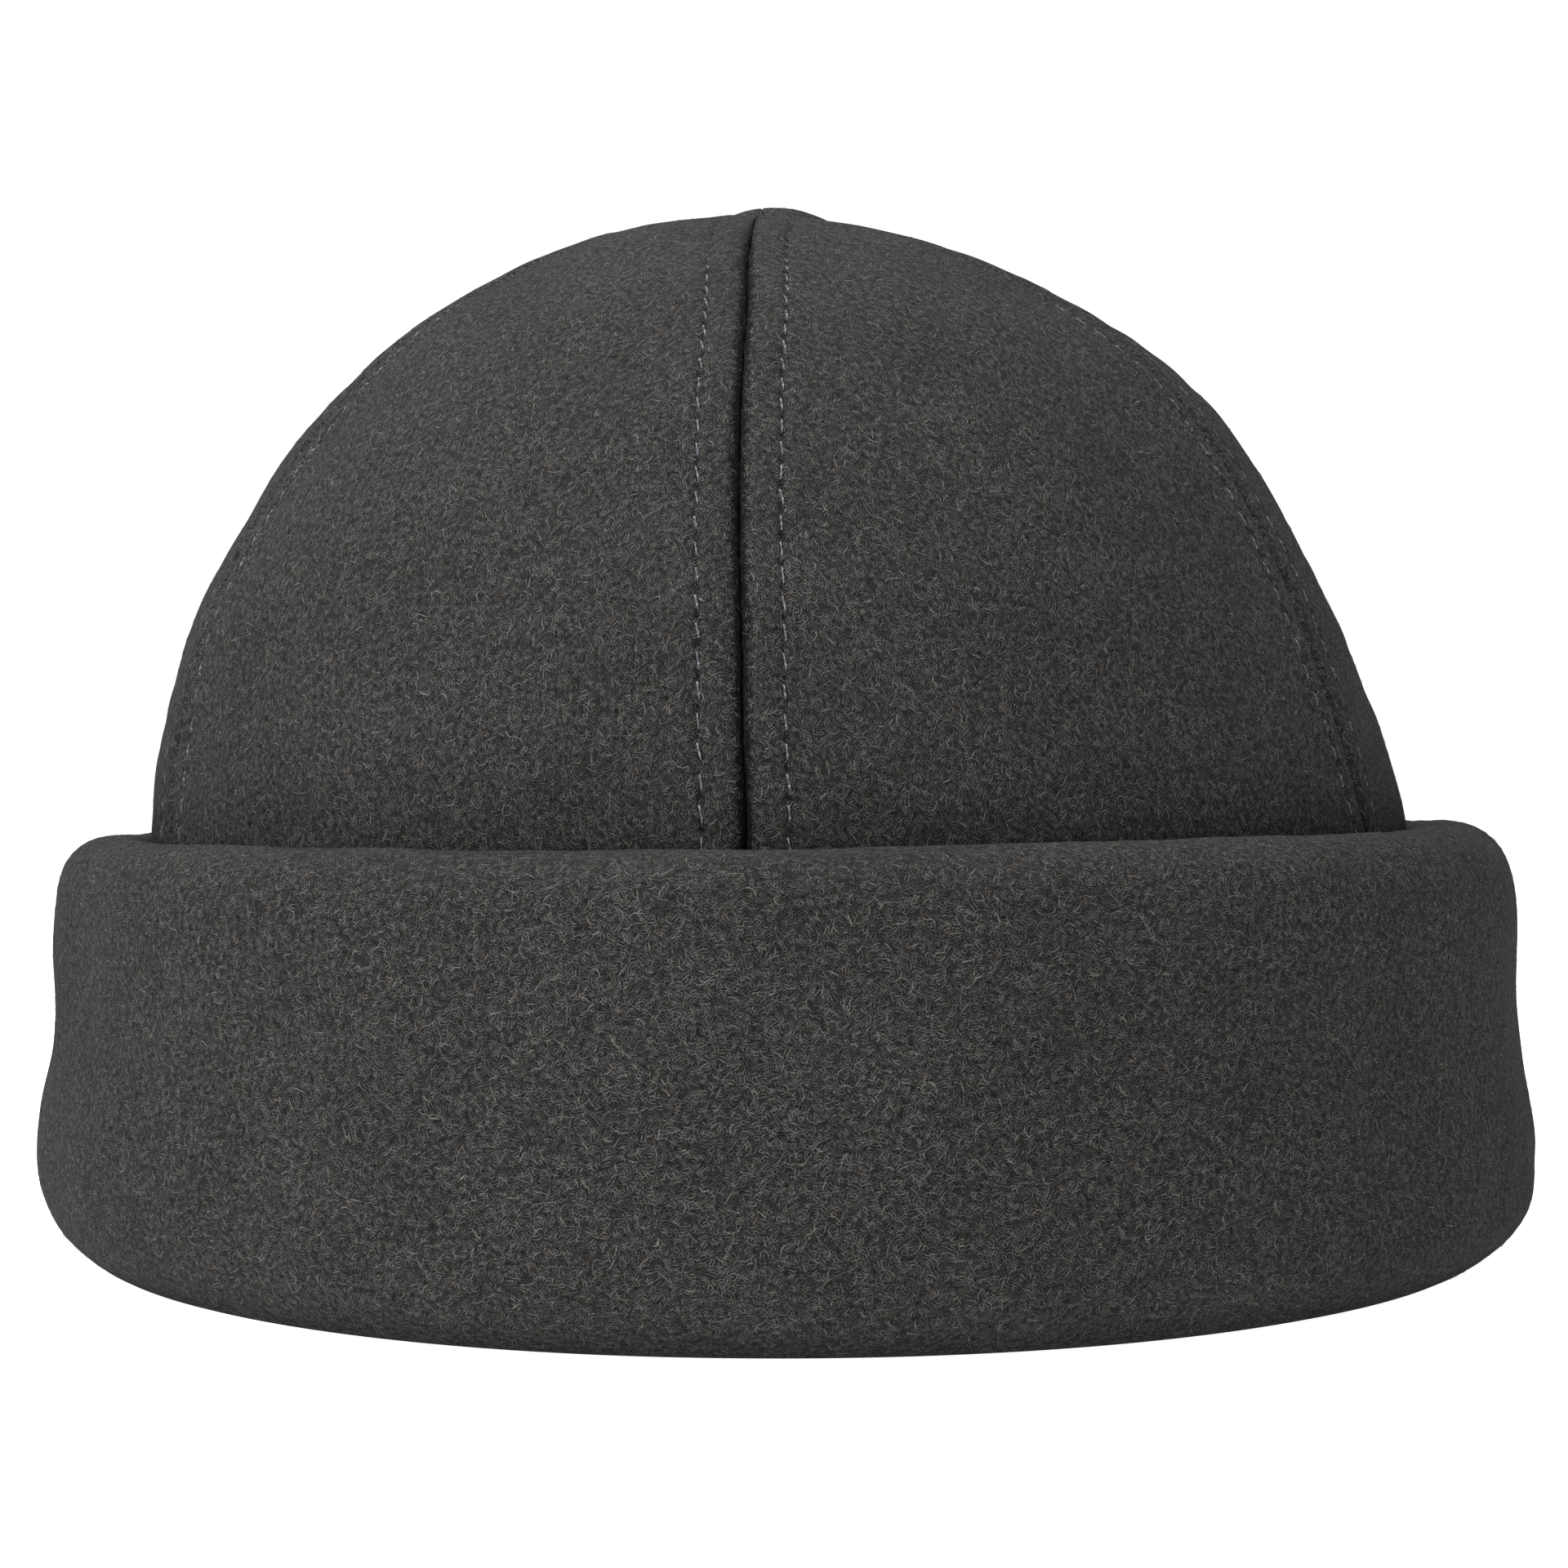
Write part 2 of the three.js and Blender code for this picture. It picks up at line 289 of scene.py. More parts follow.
def copies(name, model, places, maps=(), values=()):
    # One mesh of many copies of a model. places is (copies, points of the model, 3) in mm.
    faces = [list(p.vertices) for p in model.data.polygons]
    size, many = places.shape[1], len(places)
    mesh = bpy.data.meshes.new(name)
    allFaces = []
    for corners in {len(f) for f in faces}:
        block = np.array([f for f in faces if len(f) == corners])
        block = block[None] + (np.arange(many) * size)[:, None, None]
        allFaces += block.reshape(-1, corners).tolist()
    mesh.from_pydata((places.reshape(-1, 3) * mm).tolist(), [], allFaces)
    used = readAll(mesh.loops, "vertex_index")
    for mapName, uv in maps:
        layer = mesh.uv_layers.new(name=mapName)
        layer.data.foreach_set("uv", uv.reshape(-1, 2)[used].ravel())
    for valueName, value in values:
        attribute = mesh.attributes.new(valueName, "FLOAT", "POINT")
        attribute.data.foreach_set("value", np.repeat(value, size).astype(np.float32))
    mesh.polygons.foreach_set("use_smooth", np.ones(len(mesh.polygons), bool))
    mesh.update()
    piece = bpy.data.objects.new(name, mesh)
    bpy.context.collection.objects.link(piece)
    return piece


# Materials

def fill(tree, node, values):
    # Links the inputs whose value is another node's output, and sets the rest
    for key, value in values.items():
        if isinstance(value, bpy.types.NodeSocket):
            tree.links.new(value, node.inputs[key])
        else:
            node.inputs[key].default_value = value
    return node


def put(tree, kind, values=(), **settings):
    node = tree.nodes.new("ShaderNode" + kind)
    for name, value in settings.items():
        setattr(node, name, value)
    return fill(tree, node, dict(values))


def reckon(tree, operation, a, b=None, c=None):
    values = {k: v for k, v in enumerate((a, b, c)) if v is not None}
    return put(tree, "Math", values, operation=operation).outputs[0]


def easedNode(tree, value, low, high, outLow=0.0, outHigh=1.0):
    return put(tree, "MapRange", {
        "Value": value, "From Min": low, "From Max": high, "To Min": outLow, "To Max": outHigh,
    }, interpolation_type="SMOOTHSTEP").outputs[0]


def mixColour(tree, share, a, b, way="MIX"):
    node = put(tree, "Mix", {0: share, 6: a, 7: b}, data_type="RGBA", blend_type=way)
    return node.outputs[2]


def steppedTints(tree, value, stops, brightest=1.0):
    # One of a few colours, each with its share of the values from 0 to 1
    node = put(tree, "ValToRGB", {0: value})
    elements = node.color_ramp.elements
    node.color_ramp.interpolation = "CONSTANT"
    for i, (at, colour) in enumerate(stops):
        stop = elements[i] if i < 2 else elements.new(at)
        stop.position = at
        stop.color = (*[c / brightest for c in colour], 1)
    return node.outputs[0]


def flatNoise(tree, place, scale, detail, roughness):
    return put(tree, "TexNoise", {"Vector": place, "Scale": scale, "Detail": detail,
                                  "Roughness": roughness}, noise_dimensions="2D").outputs


def newGroup(name, inputs, outputs):
    tree = bpy.data.node_groups.new(name, "ShaderNodeTree")
    for way, sockets in (("INPUT", inputs), ("OUTPUT", outputs)):
        for socketName, kind in sockets:
            tree.interface.new_socket(socketName, in_out=way, socket_type="NodeSocket" + kind)
    return tree, tree.nodes.new("NodeGroupInput").outputs, tree.nodes.new("NodeGroupOutput")


def useGroup(tree, group, values):
    node = tree.nodes.new("ShaderNodeGroup")
    node.node_tree = group
    return fill(tree, node, values).outputs


felt = {
    "deep": (0.012, 0.012, 0.0121, 1),
    "crownFibre": (0.385, 0.379, 0.376, 1), "cuffFibre": (0.386, 0.38, 0.375, 1),
    "mottle": 0.5, "roughness": 0.92,
    "sheen": 0.02, "sheenRoughness": 0.4, "sheenTint": (0.6, 0.59, 0.58, 1),
    "bump": 0.9, "bumpDepth": 0.00016,
    # painted shade in and along the seams: how dark, how much its high fibres stay out of that,
    # most
    "pressed": 2.1, "pressedSpares": 1.3, "pressedMost": 0.92,
    "pressedColour": (0.006, 0.006, 0.006, 1),
    # layers of strands: size of a tuft and pitch in it, in mm, spread of the tufts' turns,
    # how much of each strand's width shows, from low to high, and a shift of the pattern.
    # The last layer holds lone pale hairs.
    "strands": [
        (0.7, 0.34, 2.9, 0.56, 0.94, 0.0), (0.55, 0.27, 2.6, 0.52, 0.94, 37.1),
        (0.88, 0.37, 2.8, 0.61, 0.95, 71.7), (0.63, 0.3, 2.7, 0.56, 0.94, 151.9),
        (1.4, 1.2, 2.9, 0.89, 0.97, 113.3),
    ],
    "loneTint": (1.45, 1.42, 1.36, 1), "loneShare": 0.9,
    # noises: scale per mm, detail and roughness
    "curls": (1.3, 2.0, 0.6), "curlReach": (0.34, 0.34, 0.0),
    "clumps": (0.75, 3.0, 0.55), "clouds": (0.045, 2.0, 0.5),
    # tints of the fibres, each from its share of them on
    "tints": [(0.0, (1.0, 1.0, 1.0)), (0.42, (1.08, 1.01, 0.9)), (0.64, (0.9, 0.97, 1.06)),
              (0.8, (0.84, 0.82, 0.8)), (0.93, (1.12, 0.98, 0.82)), (0.982, (1.25, 0.8, 0.58))],
    "brightestTint": 1.25,
    "looseTints": [(0.0, (0.05, 0.05, 0.05)), (0.3, (0.09, 0.089, 0.087)),
                   (0.5, (0.13, 0.125, 0.113)), (0.68, (0.11, 0.117, 0.128)),
                   (0.82, (0.18, 0.177, 0.17)), (0.94, (0.28, 0.275, 0.265)),
                   (0.985, (0.17, 0.105, 0.075))],
    "fuzz": (0.046, 0.045, 0.044, 1), "paleFuzz": (0.17, 0.168, 0.162, 1),
    "threadDark": (0.2, 0.2, 0.22, 1), "threadPale": (0.58, 0.58, 0.64, 1),
}


def strandGroup():
    # Small tufts of bent, nearly parallel fibres. Each tuft has its own turn and bend.
    tree, given, out = newGroup("woolStrands", [
        ("Place", "Vector"), ("Tuft", "Float"), ("Pitch", "Float"), ("Spread", "Float"),
        ("Low", "Float"), ("High", "Float"), ("Shift", "Float"),
    ], [("Strand", "Float"), ("Pick", "Float")])
    do = partial(reckon, tree)
    moved = put(tree, "VectorMath", {0: given["Place"], 1: given["Shift"]}).outputs[0]
    cells = put(tree, "TexVoronoi", {
        "Vector": moved, "Scale": do("DIVIDE", 1.0, given["Tuft"])},
        voronoi_dimensions="2D", feature="F1").outputs
    chance = put(tree, "SeparateColor", {0: cells["Color"]}).outputs
    away = put(tree, "VectorMath", {0: moved, 1: cells["Position"]},
               operation="SUBTRACT").outputs[0]
    angle = do("MULTIPLY", do("SUBTRACT", chance[0], 0.5), given["Spread"])
    turned = put(tree, "VectorRotate", {"Vector": away, "Angle": angle},
                 rotation_type="Z_AXIS").outputs[0]
    along = put(tree, "SeparateXYZ", {0: turned}).outputs
    squared = do("DIVIDE", do("MULTIPLY", along[0], along[0]), given["Tuft"])
    bend = do("MULTIPLY", do("SUBTRACT", chance[1], 0.5), 2.4)
    across = do("MULTIPLY_ADD", squared, bend, along[1])
    count = do("ADD", do("DIVIDE", across, given["Pitch"]), do("MULTIPLY", chance[2], 7.0))
    ridge = do("ABSOLUTE", do("MULTIPLY_ADD", do("FRACT", count), 2.0, -1.0))
    ridge = do("SUBTRACT", 1.0, ridge)
    line = put(tree, "MapRange", {
        "Value": ridge, "From Min": given["Low"], "From Max": given["High"]},
        interpolation_type="SMOOTHSTEP").outputs[0]
    ends = easedNode(tree, cells["Distance"], 0.3, 0.72, 1.0, 0.0)
    pick = do("MULTIPLY_ADD", do("FLOOR", count), 0.377, do("MULTIPLY", chance[1], 13.7))
    pick = do("FRACT", pick)
    bright = do("FRACT", do("MULTIPLY", pick, 5.3))
    bright = do("MULTIPLY_ADD", do("POWER", bright, 2.3), 0.88, 0.15)
    strand = do("MULTIPLY", do("MULTIPLY", line, ends), bright)
    tree.links.new(strand, out.inputs["Strand"])
    tree.links.new(pick, out.inputs["Pick"])
    return tree


def clothGroup(strands):
    # The nap of felted wool, on a map in millimetres
    tree, given, out = newGroup("feltedWool", [
        ("Place", "Vector"), ("Deep", "Color"), ("Fibre", "Color"), ("Mottle", "Float"),
    ], [("Colour", "Color"), ("Height", "Float")])
    do = partial(reckon, tree)
    place = given["Place"]
    curl = flatNoise(tree, place, *felt["curls"])["Color"]
    curl = put(tree, "VectorMath", {0: curl, 1: (0.5, 0.5, 0.5)},
               operation="SUBTRACT").outputs[0]
    curled = put(tree, "VectorMath", {0: curl, 1: felt["curlReach"], 2: place},
                 operation="MULTIPLY_ADD").outputs[0]
    columns = ("Tuft", "Pitch", "Spread", "Low", "High", "Shift")
    layers = [useGroup(tree, strands, {"Place": curled, **dict(zip(columns, row))})
              for row in felt["strands"]]
    top, pick = layers[0]["Strand"], layers[0]["Pick"]
    for layer in layers[1:-1]:
        over = do("GREATER_THAN", layer["Strand"], top)
        pick = put(tree, "Mix", {0: over, 2: pick, 3: layer["Pick"]}).outputs[0]
        top = do("MAXIMUM", layer["Strand"], top)
    tints = steppedTints(tree, pick, felt["tints"], felt["brightestTint"])
    fibre = mixColour(tree, 1.0, given["Fibre"], tints, "MULTIPLY")
    colour = mixColour(tree, top, given["Deep"], fibre)
    lone = layers[-1]["Strand"]
    pale = mixColour(tree, 1.0, fibre, felt["loneTint"], "MULTIPLY")
    colour = mixColour(tree, do("MULTIPLY", lone, felt["loneShare"]), colour, pale)
    clumps = flatNoise(tree, place, *felt["clumps"])[0]
    clouds = flatNoise(tree, place, *felt["clouds"])[0]
    shade = do("MULTIPLY", do("SUBTRACT", clumps, 0.5), given["Mottle"])
    shade = do("ADD", shade, 1.0)
    shade = do("MULTIPLY_ADD", do("SUBTRACT", clouds, 0.5), 0.3, shade)
    grey = put(tree, "CombineColor", {0: shade, 1: shade, 2: shade}).outputs[0]
    colour = mixColour(tree, 1.0, colour, grey, "MULTIPLY")
    height = do("MULTIPLY_ADD", top, 0.8, do("MULTIPLY", lone, 0.3))
    height = do("MULTIPLY_ADD", clumps, 0.35, height)
    tree.links.new(colour, out.inputs["Colour"])
    tree.links.new(height, out.inputs["Height"])
    return tree


feltedWool = clothGroup(strandGroup())


def newMaterial(name, **sockets):
    material = bpy.data.materials.new(name)
    material.use_nodes = True
    tree = material.node_tree
    shader = tree.nodes["Principled BSDF"]
    for socket, value in sockets.items():
        shader.inputs[socket.replace("_", " ")].default_value = value
    return material, tree, shader


def feltMaterial(name, fibre):
    material, tree, shader = newMaterial(
        name, Roughness=felt["roughness"], Sheen_Weight=felt["sheen"],
        Sheen_Roughness=felt["sheenRoughness"], Sheen_Tint=felt["sheenTint"],
        Specular_IOR_Level=0.2)
    do = partial(reckon, tree)
    cloth = put(tree, "UVMap", uv_map="feltMap").outputs[0]
    place = put(tree, "Mapping", {"Vector": cloth, "Scale": (1000, 1000, 1000)})
    wool = useGroup(tree, feltedWool, {"Place": place.outputs[0], "Deep": felt["deep"],
                                       "Fibre": fibre, "Mottle": felt["mottle"]})
    bump = put(tree, "Bump", {"Height": wool["Height"], "Strength": felt["bump"],
                                        "Distance": felt["bumpDepth"]})
    # painted shade along the seams darkens the colour to near black, less on the high fibres
    pressed = put(tree, "Attribute", attribute_name="pressed").outputs["Fac"]
    share = do("SUBTRACT", do("MULTIPLY", pressed, felt["pressed"]),
               do("MULTIPLY", wool["Height"], felt["pressedSpares"]))
    share = do("MINIMUM", do("MAXIMUM", share, 0.0), felt["pressedMost"])
    dark = mixColour(tree, share, wool["Colour"], felt["pressedColour"])
    tree.links.new(dark, shader.inputs["Base Color"])
    tree.links.new(bump.outputs[0], shader.inputs["Normal"])
    return material


crownFelt = feltMaterial("crownFelt", felt["crownFibre"])
cuffFelt = feltMaterial("cuffFelt", felt["cuffFibre"])


def threadMaterial():
    material, tree, shader = newMaterial(
        "sewingThread", Roughness=0.5, Sheen_Weight=0.25, Sheen_Roughness=0.4,
        Sheen_Tint=(0.6, 0.6, 0.65, 1), Specular_IOR_Level=0.4)
    place = put(tree, "TexCoord").outputs["Object"]
    noise = put(tree, "TexNoise", {"Vector": place, "Scale": 2600.0,
                "Detail": 2.0}).outputs[0]
    colour = mixColour(tree, easedNode(tree, noise, 0.35, 0.7), felt["threadDark"],
                       felt["threadPale"])
    tree.links.new(colour, shader.inputs["Base Color"])
    return material


def fibreMaterial():
    material, tree, shader = newMaterial(
        "looseFibre", Roughness=0.6, Sheen_Weight=0.2, Sheen_Roughness=0.4,
        Sheen_Tint=(0.4, 0.4, 0.4, 1), Specular_IOR_Level=0.35)
    tint = put(tree, "Attribute", attribute_name="tint").outputs["Fac"]
    tree.links.new(steppedTints(tree, tint, felt["looseTints"]), shader.inputs["Base Color"])
    return material


thread = threadMaterial()
looseFibre = fibreMaterial()
fuzzFibre, paleFibre = (
    newMaterial(name, Base_Color=felt[tone], Roughness=0.7, Specular_IOR_Level=0.3)[0]
    for name, tone in (("fuzzFibre", "fuzz"), ("paleFibre", "paleFuzz")))
print("materials made")


def dress(piece, material):
    piece.data.materials.clear()
    piece.data.materials.append(material)
    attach(piece, "root")
    return piece


# Crown panels

seamShares = np.arange(crown["panels"] + 1) / crown["panels"]
seamTurns, footLength = turnsByLength(-math.pi / 2, seamShares)
footLevel = panel["foot"] / cuff["height"] - 1
lastLevel = apexLevel - 0.008


def seamTurn(seam, level):
    # Where a seam runs at each level. Seam 0 is the front one, and also the last one.
    order = seam % crown["panels"]
    if order:
        wander = sum(share * np.sin(level * waves + turn * order)
                     for waves, turn, share in panel["wobbleWaves"])
        across = (panel["seamWobble"] * wander
                  * eased(apexLevel - level, 0, panel["wobbleFades"]))
    else:
        at, push = np.array(panel["frontSeam"]).T
        across = np.interp(level, at, push) * eased(apexLevel - level, 0, panel["frontFades"])
    return seamTurns[seam] + across / spacing(seamTurns[seam], level)


def clothLift(index, base, away):
    # How far the cloth stands off the plain shape of the crown
    belowApex = eased(crown["rise"] + cuff["height"] - base[..., 2], *panel["flatTop"])
    lift = panel["stripRise"] * belowApex * plateau(away, *panel["stripAt"])
    lift = lift - panel["hollow"] * plateau(away, *panel["hollowAt"]) - panel["lower"]
    for wave in ("slow", "quick"):
        waves = softWaves(base, panel[wave + "Size"], panel[wave + "Seed"] + index)
        lift = lift + panel[wave + "Wave"] * waves * eased(away, *panel[wave + "From"])
    return lift


def crossingLift(points):
    # The small hump where the seams' allowances cross at the apex
    middle = crownPoint(0.0, float(apexLevel))[:2] + panel["crossingAt"]
    away = np.hypot(points[..., 0] - middle[0], points[..., 1] - middle[1])
    slope = 1 - (away / (panel["crossing"] / 2)) ** panel["crossingEdge"]
    return panel["crossingRise"] * np.maximum(0, slope) ** panel["crossingFall"]


def rowLevels():
    level = np.linspace(footLevel, lastLevel, 6000)
    run = np.mean([runLength(crownPoint(t, level)) for t in seamTurns[:-1]], axis=0)
    shows = np.interp(panel["showsFrom"] / cuff["height"] - 1, level, run)
    hidden = np.linspace(0, shows, panel["hiddenRows"])
    count = int(round((run[-1] - shows) / panel["step"]))
    wanted = np.concatenate([hidden[:-1], np.linspace(shows, run[-1], count + 1)])
    return np.interp(wanted, run, level), wanted


levels, rowRuns = rowLevels()

stitch = {
    "pitch": 3.5, "length": 2.0, "radius": 0.15,
    "rings": 7, "sides": 6, "plies": (0.78, 0.3), "twist": 2.6,
    "dive": 0.7, "diveLength": 0.5, "tip": 0.05,  # how its ends go down into the holes
    "proud": 0.06, "sinks": 0.3, "sinksAt": (4.1, 5.2), "sideSinks": 0.06,
    "insideProud": 0.1,
    "startHeight": 53.5,
    "stopAcross": 8.0,  # the line ends where half the panel is narrower than this
    "slant": 8.0, "slantVaries": 3.0, "lengthVaries": (0.92, 1.06), "rollVaries": 0.12,
    "rollShifts": 0.5, "seed": 500, "lookAhead": 0.6,
}


def stitchLine(seam, side):
    # The middle of one topstitched line on the crown's surface, and where its stitches lie
    level = np.linspace(stitch["startHeight"] / cuff["height"] - 1, lastLevel, 3000)
    turn = seamTurn(seam, level)
    turn = turn + side * (panel["gap"] / 2 + panel["lineAt"]) / spacing(turn, level)
    neighbour = seam if side > 0 else (seam - 1) % crown["panels"]
    half = (seamTurns[neighbour + 1] - seamTurns[neighbour]) / 2
    across = half * spacing(seamTurns[neighbour] + half, level)
    keep = across > stitch["stopAcross"]
    level, turn = level[keep], turn[keep]
    run = runLength(crownPoint(turn, level))
    count = int(run[-1] // stitch["pitch"])
    return level, turn, run, count


def holeCloseness(seam, side, level):
    # 1 at a needle hole, 0 midway between two, at each level, and whether the line is there
    lineLevel, _, run, count = stitchLine(seam, side)
    at = np.interp(level, lineLevel, run)
    phase = (at / stitch["pitch"] + 0.5) % 1 - 0.5
    near = np.exp(-(phase * stitch["pitch"] / panel["holeWidth"]) ** 2)
    onLine = (level >= lineLevel[0]) * (at < count * stitch["pitch"] + panel["holeReach"])
    return near * onLine, level <= lineLevel[-1]


def panelColumns(index, edges, middle):
    # Turn and distance from the nearer edge, for each row and column, the half width of each
    # row, and which columns belong to the left edge
    start, end = seamTurn(index, levels), seamTurn(index + 1, levels)
    half = (end - start) / 2
    halfAcross = half * spacing(start + half, levels)
    squeeze = np.minimum(1, halfAcross / panel["fullWidth"])
    isWide = halfAcross[:, None] > panel["narrow"]
    edges = np.array(edges)[None]
    turns, away = [], []
    for edgeTurn, way in ((start, 1), (end, -1)):
        perTurn = spacing(edgeTurn, levels)
        # each edge takes its own line through the waves
        line = np.stack([levels * 0, levels * 0 + way * 9, rowRuns], 1)
        ragged = softWaves(line, panel["raggedSize"], panel["raggedSeed"] + index)
        ragged = panel["raggedEdge"] * ragged * (1 - eased(levels, *panel["raggedFades"]))
        fromEdge = panel["gap"] / 2 + edges * squeeze[:, None]
        fromEdge = fromEdge + ragged[:, None] * np.exp(-edges / panel["raggedReach"])
        near = np.maximum(fromEdge, panel["leastOffset"]) / perTurn[:, None]
        share = np.array(middle)[None]
        far = near[:, -1:] + (half[:, None] - near[:, -1:]) * share
        offset = np.concatenate([near, far], 1)
        evenly = half[:, None] * np.linspace(*panel["narrowColumns"], offset.shape[1])[None]
        offset = np.where(isWide, offset, np.minimum(offset, evenly))
        distance = (offset - panel["gap"] / 2 / perTurn[:, None]) * perTurn[:, None]
        turns.append(edgeTurn[:, None] + way * offset)
        away.append(np.maximum(distance, 0))
    middleTurn = (start + half)[:, None]
    turn = np.concatenate([turns[0], middleTurn, turns[1][:, ::-1]], 1)
    distance = np.concatenate([away[0], halfAcross[:, None], away[1][:, ::-1]], 1)
    leftSide = np.arange(turn.shape[1]) <= turns[0].shape[1]
    return turn, distance, halfAcross, leftSide


def crownPanel(index):
    turn, away, halfAcross, leftSide = panelColumns(index, panel["edges"], panel["middle"])
    level = np.repeat(levels[:, None], turn.shape[1], 1)
    normal = crownNormal(turn, level)
    base = crownPoint(turn, level)
    closing = 1 - panel["closing"] * eased(levels, *panel["closes"])
    roll = np.minimum(panel["roll"] * closing, halfAcross / 3)[:, None]
    inside = np.maximum(0, roll - away)
    lift = clothLift(index, base, away) - roll + np.sqrt(np.maximum(roll ** 2 - inside ** 2, 0))
    # shade painted in the seam's groove, fading out from the panel's edge
    pressed = panel["seamShade"] * np.exp(-(away / panel["seamShadeWidth"]) ** 2)
    pressed = pressed * closing[:, None]
    channel = np.exp(-((away - panel["lineAt"]) / panel["channelWidth"]) ** 2)
    for side, chosen in ((1, leftSide), (-1, ~leftSide)):
        # seam 0, the front one, is 0 here too when it is reached from the last panel
        seam = index if side > 0 else (index + 1) % crown["panels"]
        holes, sewn = holeCloseness(seam, side, levels)
        depth = (panel["channelDepth"] + panel["holeDepth"] * holes) * sewn
        lift -= channel * depth[:, None] * chosen[None]
        seamFades, lineFades = (panel["sideSeams"], panel["sideLines"]) if seam else (1, 1)
        pressed *= np.where(chosen, seamFades, 1)[None]
        # shade painted in the stitched channel, darker in the needle holes
        shade = (panel["lineShade"] + panel["holeShade"] * holes) * sewn * lineFades
        pressed += channel * shade[:, None] * chosen[None]
    outer = base + normal * lift[..., None]
    outer[..., 2] += crossingLift(base)

    turnIn, awayIn, _, _ = panelColumns(index, panel["innerEdges"], panel["innerMiddle"])
    levelIn = np.repeat(levels[:, None], turnIn.shape[1], 1)
    allowance = 1 - eased(awayIn, *panel["allowanceEnd"])
    wall = panel["thickness"] + panel["allowanceThickness"] * allowance
    channelIn = np.exp(-((awayIn - panel["lineAt"]) / panel["innerChannelWidth"]) ** 2)
    wall -= panel["innerChannel"] * channelIn
    inner = crownPoint(turnIn, levelIn) - crownNormal(turnIn, levelIn) * wall[..., None]
    inner = inner[:, ::-1]

    # below the roll the two panels are sewn together, so their edges nearly meet
    edges = []
    for seam, way in ((index + 1, -1), (index, 1)):
        edgeTurn = seamTurn(seam, levels)
        edgeTurn = edgeTurn + way * np.minimum(
            panel["sewnGap"] / 2 / spacing(edgeTurn, levels), 0.3)
        depth = panel["roll"] + panel["rollDepth"]
        edge = crownPoint(edgeTurn, levels) - crownNormal(edgeTurn, levels) * depth
        edge[:, 2] += crossingLift(edge) * panel["crossingBelow"]
        edges.append(edge[:, None])

    # round the ring: outside, edge, inside, edge, and back to the first column
    ring = np.concatenate([outer, edges[0], inner, edges[1], outer[:, :1]], 1)
    # the cut edges in the gap between two panels get full painted shade; the inside gets none
    dark = np.ones_like(pressed[:, :1])
    shade = np.concatenate([pressed, dark, np.zeros(awayIn.shape), dark, pressed[:, :1]], 1)
    start, end = seamTurn(index, levels)[:, None], seamTurn(index + 1, levels)[:, None]
    halfTurn, middleTurn = (end - start) / 2, (end + start) / 2
    acrossOut = (turn - middleTurn) / halfTurn * halfAcross[:, None]
    acrossIn = (turnIn - middleTurn) / halfTurn * halfAcross[:, None]
    width, edge, margin = halfAcross[:, None], panel["edgeOnMap"], panel["mapMargin"]
    u = np.concatenate([acrossOut, width + edge,
                        width + 2 * edge + (width - acrossIn[:, ::-1]),
                        3 * width + 3 * edge, 3 * width + 4 * edge], 1)
    v = np.repeat(rowRuns[:, None], u.shape[1], 1)
    most = 4 * halfAcross.max() + panel["mapExtra"]
    # each panel takes its own part of the nap
    piece = wrapGrid(f"feltPanel{index + 1}", ring, [
        ("OFBake", (u + halfAcross.max() + margin) / most, v / most + 0.01),
        ("feltMap", (v + index * 97.0) * mm, (u + index * 211.0) * mm),
    ], endCaps=True, pressed=shade)
    return dress(piece, crownFelt)


panels = []
for index in range(crown["panels"]):
    piece = crownPanel(index)
    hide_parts(f"crown_panel_{index + 1}")
    panels.append(piece)
print("crown panels sewn")


# Topstitching. One stitch is modelled: two twisted plies whose ends dive into the cloth.

def modelStitch():
    rings, sides = stitch["rings"], stitch["sides"]
    t = np.linspace(0, 1, rings)
    x = (t - 0.5) * (stitch["length"] + stitch["diveLength"])
    down = -stitch["dive"] * np.abs(2 * t - 1) ** 5 + stitch["proud"]
    angle = np.arange(sides + 1) % sides / sides * 2 * math.pi
    twist = t * stitch["twist"] * math.pi
    mean, swing = stitch["plies"]
    lobes = stitch["radius"] * (mean + swing * np.cos(2 * angle))[None]
    places = np.stack([
        np.repeat(x[:, None], sides + 1, 1),
        lobes * np.cos(angle[None] + twist[:, None]),
        down[:, None] + lobes * np.sin(angle[None] + twist[:, None])], -1)
    tips, past = places.mean(1, keepdims=True), stitch["tip"]
    first = np.repeat(tips[:1], sides + 1, 1) - [past, 0, past]
    last = np.repeat(tips[-1:], sides + 1, 1) - [-past, 0, past]
    return wrapGrid("oneStitch", np.concatenate([first, places, last]))


oneStitch = modelStitch()
stitchPoints = meshPoints(oneStitch.data) / mm


